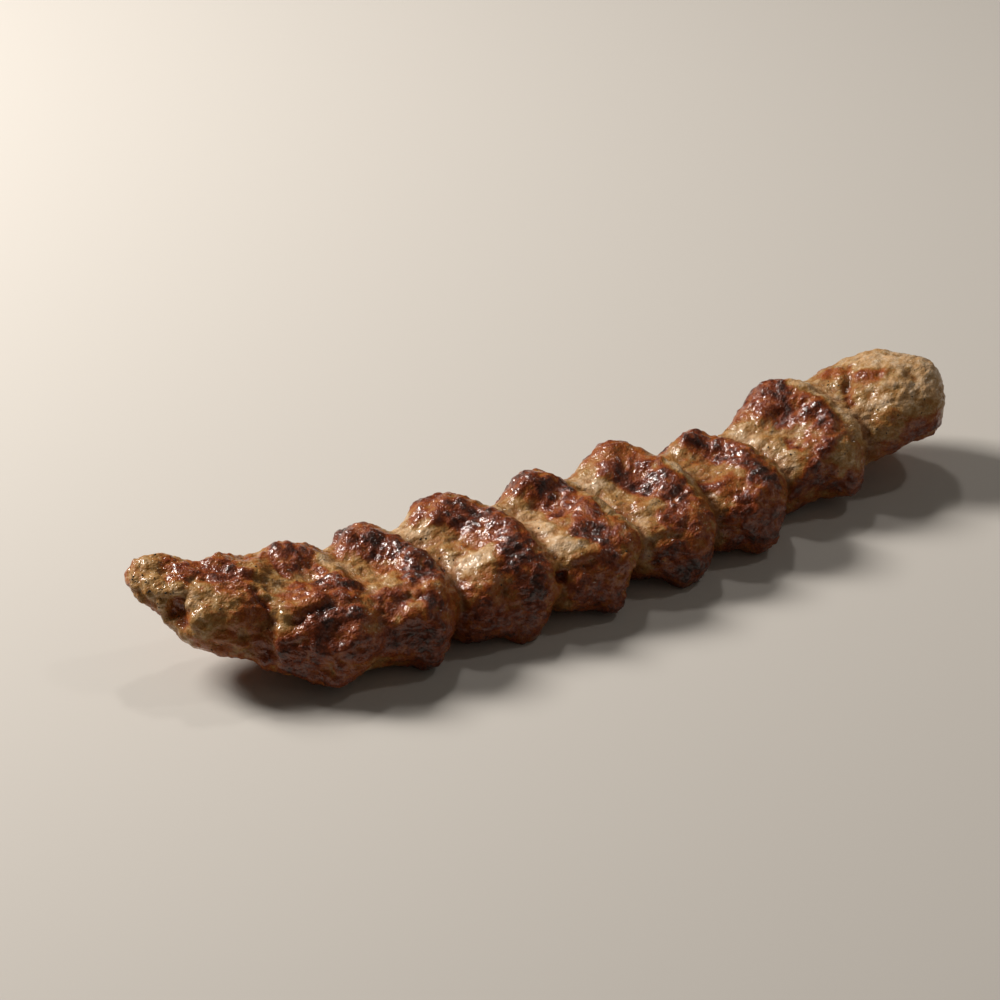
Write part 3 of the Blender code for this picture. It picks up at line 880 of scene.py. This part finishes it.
def seared_mince(look):
    """Minced meat grilled in its own fat.

    Pale where it was sheltered, and browned from gold through rust to nearly black on what stood
    nearest the heat. The browned crust is granular and holds most of the fat, so it glints in
    small broken highlights, and the pale meat has a softer, moist sheen. The colour is darkened with
    painted shade in the dips and creases, and the browning carries some painted shade and shadow too.
    """
    material, tree = new_material("seared_mince")
    place = add_node(tree, "ShaderNodeTexCoord").outputs["Object"]
    # Browning level from the skin, which also holds painted shade and painted shadow from some strokes.
    sear = add_node(tree, "ShaderNodeAttribute", {"attribute_name": "sear"}).outputs["Fac"]
    crease = add_node(tree, "ShaderNodeAttribute", {"attribute_name": "crease"}).outputs["Fac"]

    patches = add_node(tree, "ShaderNodeTexNoise", None,
                       {"Scale": 1.0 / (5.0 * MM), "Detail": 3.0}, {"Vector": place})
    mottle = add_node(tree, "ShaderNodeTexNoise", None,
                      {"Scale": 1.0 / (1.5 * MM), "Detail": 3.0}, {"Vector": place})
    pores = add_node(tree, "ShaderNodeTexNoise", None,
                     {"Scale": 1.0 / (0.55 * MM), "Detail": 2.0}, {"Vector": place})
    grit = add_node(tree, "ShaderNodeTexNoise", None,
                    {"Scale": 1.0 / (0.9 * MM), "Detail": 1.5}, {"Vector": place})
    wet = add_node(tree, "ShaderNodeTexNoise", None,
                   {"Scale": 1.0 / (2.4 * MM), "Detail": 2.0}, {"Vector": place})

    patchy = add_node(tree, "ShaderNodeMath", {"operation": "MULTIPLY_ADD"},
                      {1: 0.45, 2: -0.64}, {0: patches.outputs["Fac"]})
    specked = add_node(tree, "ShaderNodeMath", {"operation": "MULTIPLY_ADD"},
                       {1: 0.28}, {0: pores.outputs["Fac"], 2: patchy.outputs["Value"]})
    mottled = add_node(tree, "ShaderNodeMath", {"operation": "MULTIPLY_ADD"},
                       {1: 0.55}, {0: mottle.outputs["Fac"], 2: specked.outputs["Value"]})
    amount = add_node(tree, "ShaderNodeMath", {"operation": "MULTIPLY_ADD"},
                      {1: 0.9, 2: 0.45}, {0: sear})
    brown_and_shade = add_node(tree, "ShaderNodeMath", {"operation": "MULTIPLY_ADD"}, None,
                     {0: mottled.outputs["Value"], 1: amount.outputs["Value"], 2: sear})
    # Colours from pale through the browning to char; where strokes paint shade, the dark end of this
    # ramp is painted shade.
    browning = add_node(tree, "ShaderNodeValToRGB", None, None, {"Fac": brown_and_shade.outputs["Value"]})
    set_ramp(browning, [
        (0.06, linear(look.pale)),
        (0.24, linear(look.golden)),
        (0.44, linear(look.amber)),
        (0.64, linear(look.rust)),
        (0.86, linear(look.crust)),
        (1.00, linear(look.char)),
    ])
    soaked = add_node(tree, "ShaderNodeValToRGB", None, None, {"Fac": wet.outputs["Fac"]})
    set_ramp(soaked, [(0.40, linear(look.fat)), (0.62, linear("#FFFFFF"))])
    tinted = add_node(tree, "ShaderNodeMix", {"data_type": "RGBA", "blend_type": "MULTIPLY"},
                      {"Factor": 0.6}, {"A": browning.outputs["Color"], "B": soaked.outputs["Color"]})
    # Painted shade: the colour is darkened towards the crease shade tint wherever the crease number is
    # high, in dips and creases.
    shade = add_node(tree, "ShaderNodeMath", {"operation": "MULTIPLY"}, {1: 0.75}, {0: crease})
    shaded = add_node(tree, "ShaderNodeMix", {"data_type": "RGBA", "blend_type": "MULTIPLY"},
                      {"B": linear(look.crease_shade)},
                      {"Factor": shade.outputs["Value"], "A": tinted.outputs["Result"]})

    roughness = add_node(tree, "ShaderNodeMath", {"operation": "MULTIPLY_ADD"},
                         {1: -0.10, 2: 0.50}, {0: brown_and_shade.outputs["Value"]})
    oiled = add_node(tree, "ShaderNodeMath", {"operation": "MULTIPLY_ADD"},
                     {1: 3.4, 2: -1.45}, {0: wet.outputs["Fac"]})
    oil = add_node(tree, "ShaderNodeMath", {"operation": "MULTIPLY_ADD", "use_clamp": True},
                   {1: 0.9}, {0: brown_and_shade.outputs["Value"], 2: oiled.outputs["Value"]})
    grain = add_node(tree, "ShaderNodeMath", {"operation": "MULTIPLY_ADD"},
                     {1: 0.8}, {0: pores.outputs["Fac"], 2: grit.outputs["Fac"]})
    coarseness = add_node(tree, "ShaderNodeMath", {"operation": "MULTIPLY_ADD", "use_clamp": True},
                          {1: 0.2, 2: 0.5}, {0: sear})
    bump = add_node(tree, "ShaderNodeBump", None, {"Distance": 0.60 * MM},
                    {"Strength": coarseness.outputs["Value"], "Height": grain.outputs["Value"]})
    ripple = add_node(tree, "ShaderNodeBump", None, {"Strength": 0.8, "Distance": 0.45 * MM},
                      {"Height": grit.outputs["Fac"]})
    shader = add_node(
        tree, "ShaderNodeBsdfPrincipled", None,
        {"Metallic": 0.0, "IOR": 1.42, "Subsurface Weight": 0.06,
         "Subsurface Radius": (1.0, 0.45, 0.2), "Subsurface Scale": 1.5 * MM,
         "Specular IOR Level": 0.25, "Coat Roughness": 0.08, "Coat IOR": 1.46},
        {"Base Color": shaded.outputs["Result"], "Roughness": roughness.outputs["Value"],
         "Coat Weight": oil.outputs["Value"], "Normal": bump.outputs["Normal"],
         "Coat Normal": ripple.outputs["Normal"]},
    )
    add_node(tree, "ShaderNodeOutputMaterial", None, None, {"Surface": shader.outputs["BSDF"]})
    return material


def cracked_pepper(look):
    """Cracked black pepper and dried herb: dull, dark flakes, softened by the fat they lie in."""
    material, tree = new_material("cracked_pepper")
    shader = add_node(tree, "ShaderNodeBsdfPrincipled", None,
                      {"Base Color": linear(look.pepper), "Roughness": 0.6, "IOR": 1.45,
                       "Specular IOR Level": 0.3})
    add_node(tree, "ShaderNodeOutputMaterial", None, None, {"Surface": shader.outputs["BSDF"]})
    return material


def matt_card(colour):
    """Matt card: a plain pale sheet with no gloss."""
    material, tree = new_material("matt_card")
    shader = add_node(tree, "ShaderNodeBsdfPrincipled", None,
                      {"Base Color": linear(colour), "Roughness": 0.9,
                       "Specular IOR Level": 0.2})
    add_node(tree, "ShaderNodeOutputMaterial", None, None, {"Surface": shader.outputs["BSDF"]})
    return material


# ---------------------------------------------------------------------------------------------
# What a user may change
# ---------------------------------------------------------------------------------------------

class KoftaMeatSettings(bpy.types.PropertyGroup):
    lump_depth: bpy.props.FloatProperty(
        name="Lump depth", description="Depth of the creases between lumps, in millimetres",
        default=1.0, min=0.0, max=3.0)
    grain_depth: bpy.props.FloatProperty(
        name="Grain depth", description="Depth of the mince's grain, in millimetres",
        default=1.0, min=0.0, max=2.0)
    pale: bpy.props.StringProperty(
        name="Pale", description="sRGB colour of the sheltered meat", default="#D0B596")
    fat: bpy.props.StringProperty(
        name="Fat", description="sRGB tint where fat has soaked in", default="#E8CDA0")
    # Painted shade: the tint that darkens the dips and creases.
    crease_shade: bpy.props.StringProperty(
        name="Crease shade", description="sRGB tint where juice has dried in the dips", default="#B8874F")
    golden: bpy.props.StringProperty(
        name="Golden", description="sRGB colour of the first browning", default="#A07B47")
    amber: bpy.props.StringProperty(
        name="Amber", description="sRGB colour at the edge of the browning", default="#96541C")
    rust: bpy.props.StringProperty(
        name="Rust", description="sRGB colour of the browned meat", default="#7C3712")
    crust: bpy.props.StringProperty(
        name="Crust", description="sRGB colour of the crust", default="#56240E")
    char: bpy.props.StringProperty(
        name="Char", description="sRGB colour of the darkest crust", default="#35170B")


class KoftaPepperSettings(bpy.types.PropertyGroup):
    flecks: bpy.props.IntProperty(
        name="Flecks", description="How many flecks lie on the skin", default=260, min=1, max=2000)
    fleck_size: bpy.props.FloatProperty(
        name="Fleck size", description="Length of the longest fleck, in millimetres",
        default=1.0, min=0.2, max=3.0)
    pepper: bpy.props.StringProperty(
        name="Pepper", description="sRGB colour of the flecks", default="#3A2C1A")


class KoftaStageSettings(bpy.types.PropertyGroup):
    floor: bpy.props.StringProperty(
        name="Floor", description="sRGB colour of the floor", default="#C6C2BC")
    azimuth: bpy.props.FloatProperty(
        name="Azimuth", description="Where the camera stands round the kofta",
        default=np.radians(-28.0), subtype="ANGLE")
    elevation: bpy.props.FloatProperty(
        name="Elevation", description="The camera's angle above the floor",
        default=np.radians(35.0), subtype="ANGLE")
    distance: bpy.props.FloatProperty(
        name="Distance", description="From the camera to what it looks at",
        default=0.75, unit="LENGTH")


# ---------------------------------------------------------------------------------------------
# Operators
# ---------------------------------------------------------------------------------------------

class OBJECT_OT_kofta_meat(bpy.types.Operator):
    """Make the kofta's meat: one closed skin, seared unevenly, with painted shade in its creases and low
    near flanks
    """

    bl_idname = "object.kofta_meat"
    bl_label = "Meat"

    def execute(self, context):
        look = context.scene.kofta_meat
        relief = make_relief(look)
        mesh = closed_mesh("kofta_meat", relief.points)
        add_number(mesh, "sear", relief.sear)
        add_number(mesh, "crease", relief.crease)
        mesh.materials.append(seared_mince(look))
        meat = bpy.data.objects.new("kofta_meat", mesh)
        place_piece(meat)
        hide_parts(NODE)
        return {"FINISHED"}


class OBJECT_OT_kofta_pepper(bpy.types.Operator):
    """Scatter flecks of pepper and herb over the pale parts of the meat"""

    bl_idname = "object.kofta_pepper"
    bl_label = "Pepper"

    def execute(self, context):
        look = context.scene.kofta_pepper
        mesh = fleck_mesh(bpy.data.objects["kofta_meat"].data, look)
        mesh.materials.append(cracked_pepper(look))
        pepper = bpy.data.objects.new("kofta_pepper", mesh)
        place_piece(pepper)
        return {"FINISHED"}


class OBJECT_OT_kofta_stage(bpy.types.Operator):
    """Make the floor, the soft lights and the camera"""

    bl_idname = "object.kofta_stage"
    bl_label = "Stage"

    def execute(self, context):
        look = context.scene.kofta_stage
        make_floor(look)
        make_lights()
        make_camera(look)
        return {"FINISHED"}


def make_floor(look):
    """A flat square of card, 3 metres wide, that the kofta lies on."""
    half = 1.5
    vertices = np.array([(-half, -half, 0.0), (half, -half, 0.0), (half, half, 0.0), (-half, half, 0.0)])
    mesh = mesh_from("floor", vertices, [np.array([(0, 1, 2, 3)])])
    mesh.materials.append(matt_card(look.floor))
    floor = bpy.data.objects.new("floor", mesh)
    bpy.context.scene.collection.objects.link(floor)


Lamp = namedtuple("Lamp", "name place width watts colour")
LAMPS = (
    Lamp("key", (-0.48, 0.62, 0.60), 0.28, 13.5, "#FFF9F2"),
    Lamp("top", (0.20, 0.50, 0.80), 0.07, 1.1, "#FFFAF4"),
    Lamp("side", (0.55, -0.05, 0.75), 0.06, 0.5, "#FFFAF4"),
    Lamp("fill", (0.70, -0.60, 0.60), 0.90, 0.5, "#FFF4E6"),
)


def make_lights():
    """Soft square lamps, each turned towards the kofta, and a dim even sky."""
    for lamp in LAMPS:
        light = bpy.data.lights.new(lamp.name, "AREA")
        light.size = lamp.width
        light.energy = lamp.watts
        light.color = linear(lamp.colour)[:3]
        holder = bpy.data.objects.new(lamp.name, light)
        holder.location = lamp.place
        holder.rotation_euler = (-Vector(lamp.place)).to_track_quat("-Z", "Y").to_euler()
        bpy.context.scene.collection.objects.link(holder)
    world = bpy.data.worlds.new("studio")
    world.use_nodes = True
    sky = world.node_tree.nodes["Background"]
    sky.inputs["Color"].default_value = linear("#EFE3D3")
    sky.inputs["Strength"].default_value = 0.06
    bpy.context.scene.world = world


AIM = Vector((-0.0088, 0.0246, 0.0100))


def make_camera(look):
    """A long lens, turned about the kofta and looking down on it."""
    lens = bpy.data.cameras.new("camera")
    lens.lens = 100.0
    lens.sensor_width = 36.0
    camera = bpy.data.objects.new("camera", lens)
    level = np.cos(look.elevation)
    back = Vector((np.sin(look.azimuth) * level, -np.cos(look.azimuth) * level, np.sin(look.elevation)))
    camera.location = AIM + back * look.distance
    camera.rotation_euler = (-back).to_track_quat("-Z", "Y").to_euler()
    bpy.context.scene.collection.objects.link(camera)
    bpy.context.scene.camera = camera
    bpy.context.scene.view_settings.view_transform = "Standard"


class VIEW3D_PT_kofta(bpy.types.Panel):
    """The kofta's pieces and their settings"""

    bl_label = "Kofta"
    bl_space_type = "VIEW_3D"
    bl_region_type = "UI"
    bl_category = "Kofta"

    def draw(self, context):
        scene = context.scene
        for settings, operator in ((scene.kofta_meat, OBJECT_OT_kofta_meat),
                                   (scene.kofta_pepper, OBJECT_OT_kofta_pepper),
                                   (scene.kofta_stage, OBJECT_OT_kofta_stage)):
            box = self.layout.box()
            for name in settings.bl_rna.properties.keys():
                if name not in ("rna_type", "name"):
                    box.prop(settings, name)
            box.operator(operator.bl_idname)


CLASSES = (KoftaMeatSettings, KoftaPepperSettings, KoftaStageSettings, OBJECT_OT_kofta_meat,
           OBJECT_OT_kofta_pepper, OBJECT_OT_kofta_stage, VIEW3D_PT_kofta)


def register():
    for kind in CLASSES:
        bpy.utils.register_class(kind)
    bpy.types.Scene.kofta_meat = bpy.props.PointerProperty(type=KoftaMeatSettings)
    bpy.types.Scene.kofta_pepper = bpy.props.PointerProperty(type=KoftaPepperSettings)
    bpy.types.Scene.kofta_stage = bpy.props.PointerProperty(type=KoftaStageSettings)


def unregister():
    del bpy.types.Scene.kofta_stage
    del bpy.types.Scene.kofta_pepper
    del bpy.types.Scene.kofta_meat
    for kind in reversed(CLASSES):
        bpy.utils.unregister_class(kind)


def main():
    register()
    bpy.ops.object.kofta_meat()
    bpy.ops.object.kofta_pepper()
    bpy.ops.object.kofta_stage()


if __name__ == "__main__":
    main()
